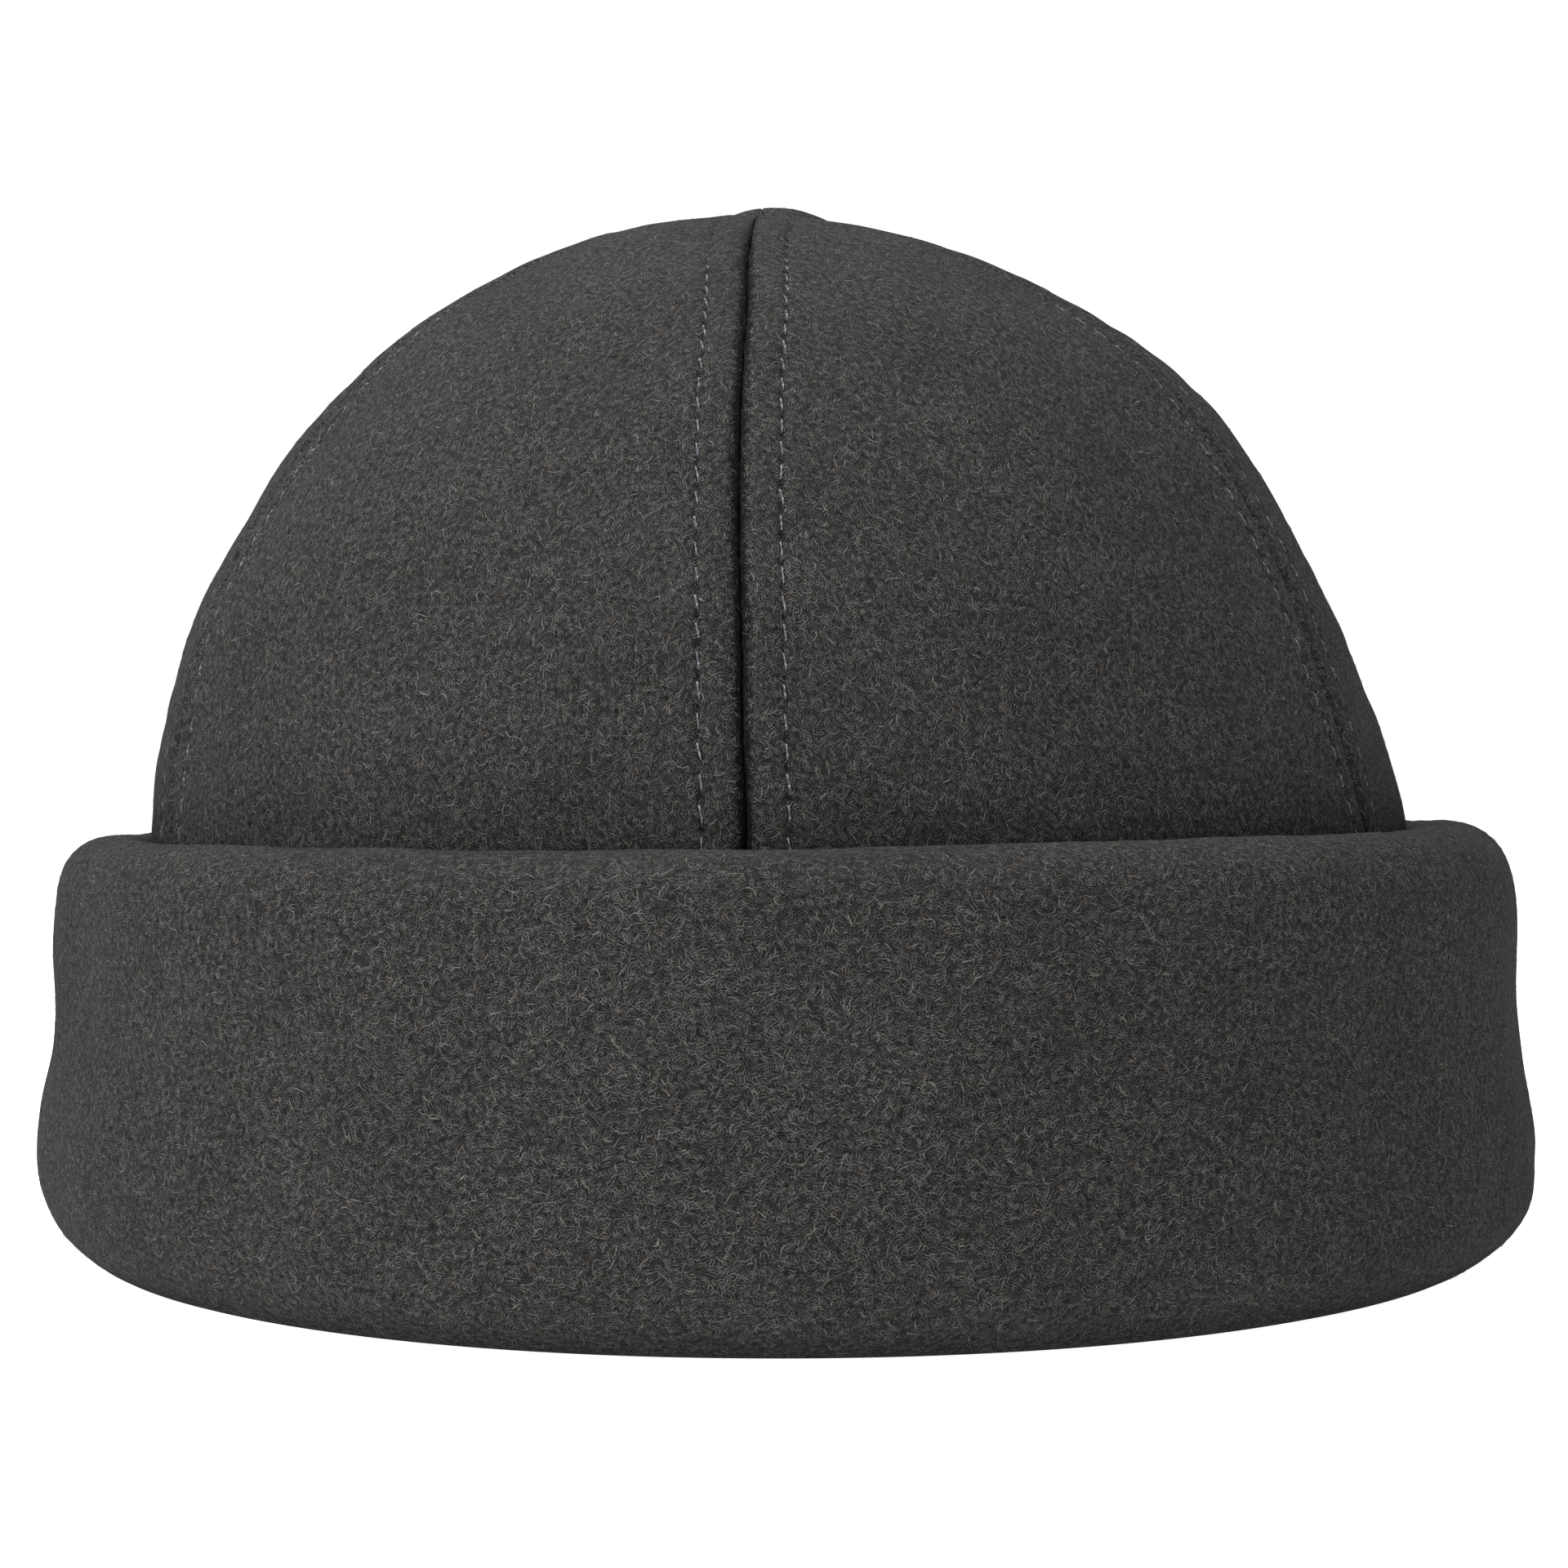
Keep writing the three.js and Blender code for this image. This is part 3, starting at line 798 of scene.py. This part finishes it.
def stitchPlaces(seam, side, inside):
    level, turn, run, count = stitchLine(seam, side)
    rng = np.random.default_rng(stitch["seed"] + 20 * seam + 5 * side + inside)
    at = (np.arange(count) + 0.5) * stitch["pitch"]
    middleLevel, middleTurn = np.interp(at, run, level), np.interp(at, run, turn)
    ahead = [crownPoint(np.interp(at + d, run, turn), np.interp(at + d, run, level))
             for d in (-stitch["lookAhead"], stitch["lookAhead"])]
    along = unit(ahead[1] - ahead[0])
    normal = crownNormal(middleTurn, middleLevel)
    middle = crownPoint(middleTurn, middleLevel)
    if inside:
        depth = stitch["insideProud"] - panel["thickness"] - panel["allowanceThickness"]
        sunk = np.full(count, depth)
    else:
        index = seam if side > 0 else (seam - 1) % crown["panels"]
        sunk = clothLift(index, middle, np.full(count, panel["lineAt"]))
        sunk = sunk - panel["channelDepth"] + stitch["proud"]
        sunk = sunk - stitch["sinks"] * eased(middleLevel, *stitch["sinksAt"])
        sunk = sunk - (stitch["sideSinks"] if seam else 0)
        middle[:, 2] += crossingLift(middle)
    middle = middle + normal * sunk[:, None]
    face = -normal if inside else normal
    left = np.cross(face, along)
    slant = stitch["slant"] + rng.normal(0, stitch["slantVaries"], count)
    slant = np.radians(slant)[:, None]
    along = along * np.cos(slant) + left * np.sin(slant)
    across = np.cross(face, along)
    size = rng.uniform(*stitch["lengthVaries"], count)[:, None, None]
    roll = rng.uniform(-stitch["rollVaries"], stitch["rollVaries"], count)[:, None]
    middle = middle + across * roll * stitch["rollShifts"]
    p = stitchPoints[None] * np.concatenate([size, np.ones_like(size), np.ones_like(size)], -1)
    return (middle[:, None] + along[:, None] * p[..., :1] + across[:, None] * p[..., 1:2]
            + face[:, None] * p[..., 2:])


for seam in range(crown["panels"]):
    for inside, label in ((False, "topstitch"), (True, "insideStitch")):
        places = np.concatenate([stitchPlaces(seam, side, inside) for side in (-1, 1)])
        piece = copies(f"{label}{seam + 1}", oneStitch, places)
        dress(piece, thread)
bpy.data.objects.remove(oneStitch)
print("seams topstitched")


# Cuff

def cuffProfile():
    # The cloth's shown face as (out, up), from the top of the inner leg round to the hem's end
    rows = np.array(cuff["rows"]) * [cuff["standOff"], cuff["height"]]
    quarter = np.linspace(0, math.pi / 2, 14)
    count = cuff["legPoints"]
    leg = np.stack([np.full(count, -cuff["thickness"]),
                    np.linspace(cuff["legHeight"], cuff["legFold"], count)], 1)[:-1]
    restOut, topOut, topUp = rows[0, 0], rows[-1, 0], rows[-1, 1]
    fold = np.stack([restOut - (restOut + cuff["thickness"]) * np.cos(quarter),
                     cuff["legFold"] * (1 - np.sin(quarter))], 1)[:-1]
    at = np.linspace(1, len(rows) - 1, 180)
    wall = np.stack([throughPoints(rows[:, k], at) for k in (0, 1)], 1)
    wall[:, 1] = np.maximum(wall[:, 1], 0)
    turnIn = np.stack([topOut - (topOut - cuff["clearance"]) * np.sin(quarter),
                       topUp - cuff["hemRoll"] * (1 - np.cos(quarter))], 1)[1:]
    hemEnd = cuff["height"] - cuff["hemDepth"]
    count = cuff["hemPoints"]
    hem = np.stack([np.full(count, cuff["clearance"]),
                    np.linspace(topUp - cuff["hemRoll"], hemEnd, count)], 1)[1:]
    return np.concatenate([leg, fold, rows[:1], wall, turnIn, hem])


def resampled(line, run, wanted):
    return np.stack([np.interp(wanted, run, line[:, k]) for k in (0, 1)], 1)


def foldedCuff():
    line = cuffProfile()
    run = runLength(line)
    legEnd, hemStart = run[cuff["legPoints"] - 1], run[-cuff["hemPoints"]]
    shown = np.arange(legEnd, hemStart + cuff["pastHem"], cuff["step"])
    wanted = np.concatenate([np.linspace(0, legEnd, 4)[:-1], shown,
                             np.linspace(shown[-1], run[-1], 6)[1:]])
    face = resampled(line, run, wanted)
    tangent = unit(np.gradient(face, axis=0))
    outward = np.stack([tangent[:, 1], -tangent[:, 0]], 1)
    # the hidden side needs few points
    keep = np.linspace(0, len(face) - 1, cuff["hiddenColumns"])
    keep = np.unique(np.rint(keep).astype(int))
    back = (face - outward * cuff["thickness"])[keep][::-1]

    seamRows = np.array(cuff["seamRows"])
    plain = np.arange(cuff["plainFrom"], footLength - cuff["plainTo"], cuff["step"])
    around = np.concatenate([seamRows, plain, footLength - seamRows[::-1]])
    turns, _ = turnsByLength(math.pi / 2, around / footLength)
    foot = crownPoint(turns, np.zeros_like(turns))
    flatNormal = unit(np.stack([np.cos(turns) / crown["halfWidth"],
                                np.sin(turns) / crown["halfLength"]], 1))
    seamAway = np.minimum(around, footLength - around)
    dip = np.maximum(0, cuff["seamRoll"] - seamAway)
    dip = cuff["seamRoll"] - np.sqrt(np.maximum(cuff["seamRoll"] ** 2 - dip ** 2, 0))
    # the outer wall is widest at the row with the largest share
    belly = cuff["height"] * max(cuff["rows"])[1]
    across = np.cos(turns)[:, None]

    def swept(section, lift):
        # the section, lifted off itself by lift, carried round the crown's foot
        sectionOut, sectionUp = section.T
        low = 1 - eased(sectionUp, 0, cuff["foldTop"])
        away = sectionOut[None] + lift[..., 0]
        away = away * (1 + (cuff["lean"] + cuff["foldLean"] * low[None]) * across)
        fuller = cuff["fuller"] * plateau(sectionUp, *cuff["fullerUp"])
        lower = (cuff["lower"] * (1 - eased(sectionUp, *cuff["lowerUp"]))
                 * eased(sectionOut, *cuff["lowerOut"]))
        away = away + fuller[None] * np.maximum(-across, 0) + lower[None] * np.maximum(across, 0)
        above = np.maximum(0, sectionUp - belly) / (cuff["height"] - belly)
        height = sectionUp[None] + lift[..., 1]
        height = height + (cuff["rise"] * across - cuff["topDrop"]) * above[None]
        return np.stack([foot[:, :1] + away * flatNormal[:, :1],
                         foot[:, 1:2] + away * flatNormal[:, 1:2], height], -1)

    even = swept(face, np.zeros((len(turns), len(face), 2)))
    # unevenness only on the outer wall and the top edge, and none on the flat underneath
    faceOut, faceUp = face.T
    shows = np.maximum(eased(faceOut, *cuff["wallOut"]) * eased(faceUp, *cuff["wallUp"]),
                       eased(faceUp, *cuff["topUp"]) * eased(faceOut, *cuff["topOut"]))[None]
    lift = sum(cuff[wave + "Wave"] * softWaves(even, cuff[wave + "Size"], cuff[wave + "Seed"])
               for wave in ("slow", "quick")) * shows
    dips = eased(faceOut, *cuff["legOut"]) + (faceUp < cuff["legUp"])
    lift = lift - dip[:, None] * dips[None].clip(0, 1)
    lifted = swept(face, lift[..., None] * outward[None])
    lifted[..., 2] = np.maximum(lifted[..., 2], 0)
    hidden = swept(back, np.zeros((len(turns), len(back), 2)))
    ring = np.concatenate([lifted, hidden, lifted[:, :1]], 1)
    # shade painted in the back seam's groove
    shade = cuff["seamShade"] * np.exp(-(seamAway / cuff["seamShadeWidth"]) ** 2)
    shade = np.repeat(shade[:, None], ring.shape[1], 1)

    # the hidden side takes a narrow strip of the map
    strip = wanted[-1] + 2 + np.linspace(0, 20, len(back))
    v = np.concatenate([wanted, strip, [wanted[-1] + 24]])
    v = np.repeat(v[None], len(turns), 0)
    u = np.repeat((around * cuff["napStretch"])[:, None], ring.shape[1], 1)
    most = footLength * (cuff["napStretch"] + 0.02), v.max() * 1.02
    piece = wrapGrid("feltCuff", ring, [
        ("OFBake", u / most[0] + 0.005, v / most[1] + 0.005),
        ("feltMap", (u + 900) * mm, (v + 40) * mm)], pressed=shade)
    return dress(piece, cuffFelt)


cuffPiece = foldedCuff()
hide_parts("cuff")
print("cuff folded")


# Loose fibres on the cloth's surface: curled hairs that lie on it, and short ones that stand
# off it and make the outline soft

nap = {
    # kind: how many on a panel and on half the cuff, and what is added to their seeds
    "kinds": {"Nap": (900, 2400, 0), "Fuzz": (7300, 21500, 20), "PaleFuzz": (3200, 9500, 40)},
    "panelSeed": 900, "cuffSeed": 951,
    "alongSeams": 6.0,  # how many more stand along the seams, where shade is painted
    "lowest": 0.02,  # none goes through what the hat stands on
    # curled hairs
    "length": (0.5, 2.0), "mostlyShort": 2.2, "radius": (0.016, 0.03), "taper": (0, 1, 0.85, 0),
    "curl": 0.16, "wave": 0.06, "arch": (0.05, 0.18), "rootAt": 0.3, "rootDepth": 0.04,
    "tipDrop": 0.02,
    # short hairs: least rise and mean of the rest, most, reach to the side, bend
    "fuzzRise": (0.12, 0.35), "fuzzMost": 0.95, "fuzzReach": (0.1, 0.55), "fuzzBend": 1.45,
    "fuzzSweep": 1.5, "fuzzDepth": 0.05, "fuzzRadius": (0.013, 0.024),
    # where the cloth shows: above this on the crown, and outside this oval on the cuff
    "crownFrom": 50, "crownMiddle": 40, "oval": (90, 106), "outside": 0.995,
    "cuffFrom": 0.8, "topFrom": 50, "topTilt": 0.3,
}


def modelCurledHair():
    t = np.array([0, 0.3, 0.75, 1.0])
    angle = np.arange(4) % 3 / 3 * 2 * math.pi
    size = np.array(nap["taper"])[:, None]
    places = np.stack([np.repeat(t[:, None], 4, 1), size * np.cos(angle)[None],
                       size * np.sin(angle)[None]], -1)
    return wrapGrid("curledHair", places)


def modelShortHair():
    deselectAll()
    bpy.ops.mesh.primitive_cone_add(
        vertices=3, radius1=mm, radius2=0, depth=mm, end_fill_type="NGON",
        location=(mm / 2, 0, 0), rotation=(0, math.pi / 2, 0))
    bpy.ops.object.transform_apply(location=True, rotation=True, scale=True)
    return bpy.context.object


curledHair = modelCurledHair()
shortHair = modelShortHair()


def clothTriangles(piece):
    mesh = piece.data
    mesh.calc_loop_triangles()
    corners = readAll(mesh.loop_triangles, "vertices", size=3).reshape(-1, 3)
    pressed = readAll(mesh.attributes["pressed"].data, "value", float)
    return (meshPoints(mesh) / mm)[corners], pressed[corners].mean(1)


def rootsOn(cloth, count, rng, shows):
    # Places spread over the cloth where it shows, with its normal and a way along it
    triangles, pressed = clothTriangles(cloth)
    cross = np.cross(triangles[:, 1] - triangles[:, 0], triangles[:, 2] - triangles[:, 0])
    normals = unit(cross)
    area = np.linalg.norm(cross, axis=1) * shows(triangles.mean(1), normals)
    area = area * (1 + nap["alongSeams"] * np.minimum(pressed, 0.8))
    chosen = rng.choice(len(area), count, p=area / area.sum())
    a, b = np.sqrt(rng.random(count))[:, None], rng.random(count)[:, None]
    corners = triangles[chosen]
    root = corners[:, 0] * (1 - a) + corners[:, 1] * a * (1 - b) + corners[:, 2] * a * b
    normal = normals[chosen]
    level = unit(np.cross(np.array([0.0, 0.0, 1.0]) + 1e-6, normal) + 1e-9)
    angle = rng.uniform(0, 2 * math.pi, count)[:, None]
    along = level * np.cos(angle) + np.cross(normal, level) * np.sin(angle)
    return root, normal, along


def placedHairs(model, path, normal, radius):
    # The model's points, laid along each hair's own path
    points = meshPoints(model.data) / mm
    t = points[:, 0]
    tangent = unit(path(t + 0.02) - path(t - 0.02))
    first = unit(np.cross(tangent, normal[:, None] + 0.01))
    second = np.cross(tangent, first)
    places = path(t) + (first * points[None, :, 1:2] + second * points[None, :, 2:3]) * radius
    places[..., 2] = np.maximum(places[..., 2], nap["lowest"])
    return places


def lyingHairs(name, cloth, count, seed, shows):
    rng = np.random.default_rng(seed)
    root, normal, along = rootsOn(cloth, count, rng, shows)
    side = np.cross(normal, along)
    short, long = nap["length"]
    length = short + (long - short) * rng.random(count) ** nap["mostlyShort"]
    length = length[:, None, None]
    bends = rng.normal(0, [[nap["curl"]], [nap["wave"]]], (2, count))
    curl, wave = bends[..., None, None] * length
    arch = rng.uniform(*nap["arch"], (count, 1, 1))

    def path(t):
        t = t[None, :, None]
        hump = 4 * t * (1 - t)
        return (root[:, None] + along[:, None] * length * (t - nap["rootAt"])
                + side[:, None] * (curl * hump + wave * np.sin(2 * math.pi * t))
                + normal[:, None] * (arch * hump - nap["tipDrop"] * t ** 2 - nap["rootDepth"]))

    places = placedHairs(curledHair, path, normal, rng.uniform(*nap["radius"], (count, 1, 1)))
    # each hair has its own cell of the map
    points = meshPoints(curledHair.data) / mm
    cells = int(math.ceil(math.sqrt(count)))
    corner = np.stack([np.arange(count) % cells, np.arange(count) // cells], 1)[:, None]
    turn = np.arctan2(points[:, 2], points[:, 1]) / (2 * math.pi) + 0.5
    local = np.stack([0.15 + 0.7 * turn, 0.15 + 0.7 * points[:, 0]], 1)[None]
    return copies(name, curledHair, places, [("OFBake", (corner + local) / cells)],
                  [("tint", rng.random(count))])


def standingHairs(name, cloth, count, seed, shows):
    rng = np.random.default_rng(seed)
    root, normal, along = rootsOn(cloth, count, rng, shows)
    least, mean = nap["fuzzRise"]
    rise = np.minimum(least + rng.exponential(mean, (count, 1, 1)), nap["fuzzMost"])
    reach = rng.uniform(*nap["fuzzReach"], (count, 1, 1))

    def path(t):
        t = t[None, :, None]
        return (root[:, None] + along[:, None] * reach * t ** nap["fuzzSweep"]
                + normal[:, None] * (rise * np.sin(t * nap["fuzzBend"]) - nap["fuzzDepth"]))

    radius = rng.uniform(*nap["fuzzRadius"], (count, 1, 1))
    return copies(name, shortHair, placedHairs(shortHair, path, normal, radius))


def onCrown(at, normal):
    outward = (normal * (at - np.array([0, 0, nap["crownMiddle"]]))).sum(1) > 0
    return (at[:, 2] > nap["crownFrom"]) & outward


def onCuff(at, normal):
    outward = (normal[:, :2] * at[:, :2]).sum(1) > 0
    wide = np.hypot(*(at[:, :2] / nap["oval"]).T) > nap["outside"]
    top = (normal[:, 2] > nap["topTilt"]) & (at[:, 2] > nap["topFrom"])
    return (at[:, 2] > nap["cuffFrom"]) & ((outward & wide) | top)


def layFibres(cloth, start, end, seed, shows):
    # One piece of each kind on this cloth
    isCuff = cloth is cuffPiece
    pieces = []
    makers = {"Nap": (lyingHairs, looseFibre), "Fuzz": (standingHairs, fuzzFibre),
              "PaleFuzz": (standingHairs, paleFibre)}
    for kind, (lay, material) in makers.items():
        perPanel, perHalfCuff, shift = nap["kinds"][kind]
        count = perHalfCuff if isCuff else perPanel
        piece = lay(f"{start}{kind}{end}", cloth, count, seed + shift, shows)
        pieces.append(dress(piece, material))
    return pieces


napPieces = [layFibres(cloth, "panel", index + 1, nap["panelSeed"] + index, onCrown)
             for index, cloth in enumerate(panels)]
cuffNaps = []
for order, (label, way) in enumerate((("Front", -1), ("Back", 1))):
    def onHalf(at, normal):
        return onCuff(at, normal) & (at[:, 1] * way > 0)

    cuffNaps += layFibres(cuffPiece, "cuff", label, nap["cuffSeed"] + order, onHalf)
bpy.data.objects.remove(curledHair)
bpy.data.objects.remove(shortHair)
print("loose fibres laid")


# Floor, light and camera

studio = {
    "ambient": 0.05, "backdrop": 1.05,
    "floorSize": 60, "floorColours": ((0.88, 0.88, 0.88, 1), (0.9, 0.9, 0.9, 1)),
    "floorGlow": 0.8,  # what the camera sees of it on top of what it gives off
    "floorLight": 0.18,
    "target": (0, 0, 0.07),
    # name, place, size in metres and power in watts
    "lights": [
        ("overLight", (-0.13, 0.0, 1.2), 1.2, 13.3),
        ("frontLight", (-0.62, -1.05, 0.2), 0.5, 3.9),
        ("sideLight", (-0.75, -0.85, 0.75), 0.7, 0.15),
    ],
}


def areaLight(name, place, size, power):
    light = bpy.data.lights.new(name, "AREA")
    light.shape, light.size, light.energy = "DISK", size, power
    lamp = bpy.data.objects.new(name, light)
    bpy.context.collection.objects.link(lamp)
    lamp.location = place
    towards = Vector(studio["target"]) - Vector(place)
    lamp.rotation_euler = towards.to_track_quat("-Z", "Y").to_euler()


deselectAll()
bpy.ops.mesh.primitive_plane_add(size=studio["floorSize"], location=(0, 0, 0))
floor = bpy.context.object
floor.name = "studioFloor"
floorMaterial, tree, shader = newMaterial("paleFloor", Roughness=0.9, Specular_IOR_Level=0.1)
place = put(tree, "TexCoord").outputs["Object"]
grain = put(tree, "TexNoise", {"Vector": place, "Scale": 40.0}).outputs[0]
tone = mixColour(tree, grain, *studio["floorColours"])
tree.links.new(tone, shader.inputs["Base Color"])
shader.inputs["Emission Color"].default_value = (1, 1, 1, 1)
# the floor looks white to the camera, and lights the hat with what it reflects and with a faint
# glow of its own
seen = put(tree, "LightPath").outputs["Is Camera Ray"]
glow = reckon(tree, "MULTIPLY_ADD", seen, studio["floorGlow"], studio["floorLight"])
tree.links.new(glow, shader.inputs["Emission Strength"])
floor.data.materials.append(floorMaterial)

for lightSettings in studio["lights"]:
    areaLight(*lightSettings)

world = bpy.data.worlds.new("studio")
bpy.context.scene.world = world
world.use_nodes = True
tree = world.node_tree
tree.nodes.clear()
ambient, backdrop = (
    put(tree, "Background", {"Color": (1, 1, 1, 1), "Strength": studio[key]}).outputs[0]
    for key in ("ambient", "backdrop"))
seen = put(tree, "LightPath").outputs["Is Camera Ray"]
mixed = put(tree, "MixShader", {0: seen, 1: ambient, 2: backdrop})
put(tree, "OutputWorld", {"Surface": mixed.outputs[0]})

view = {
    "place": (21.95, -499.5, 65.9),
    "azimuth": 2.6, "pitch": -0.56,  # in degrees
    "lens": 84.2, "sensor": 36.0,
}
lens = bpy.data.cameras.new("photoView")
lens.sensor_fit, lens.sensor_width, lens.lens = "HORIZONTAL", view["sensor"], view["lens"]
lens.clip_start, lens.clip_end = 0.01, 100
camera = bpy.data.objects.new("photoView", lens)
bpy.context.collection.objects.link(camera)
camera.location = Vector(view["place"]) * mm
camera.rotation_euler = (math.radians(90 + view["pitch"]), 0, math.radians(view["azimuth"]))
bpy.context.scene.camera = camera
bpy.context.scene.view_settings.view_transform = "Standard"
print("studio set up")
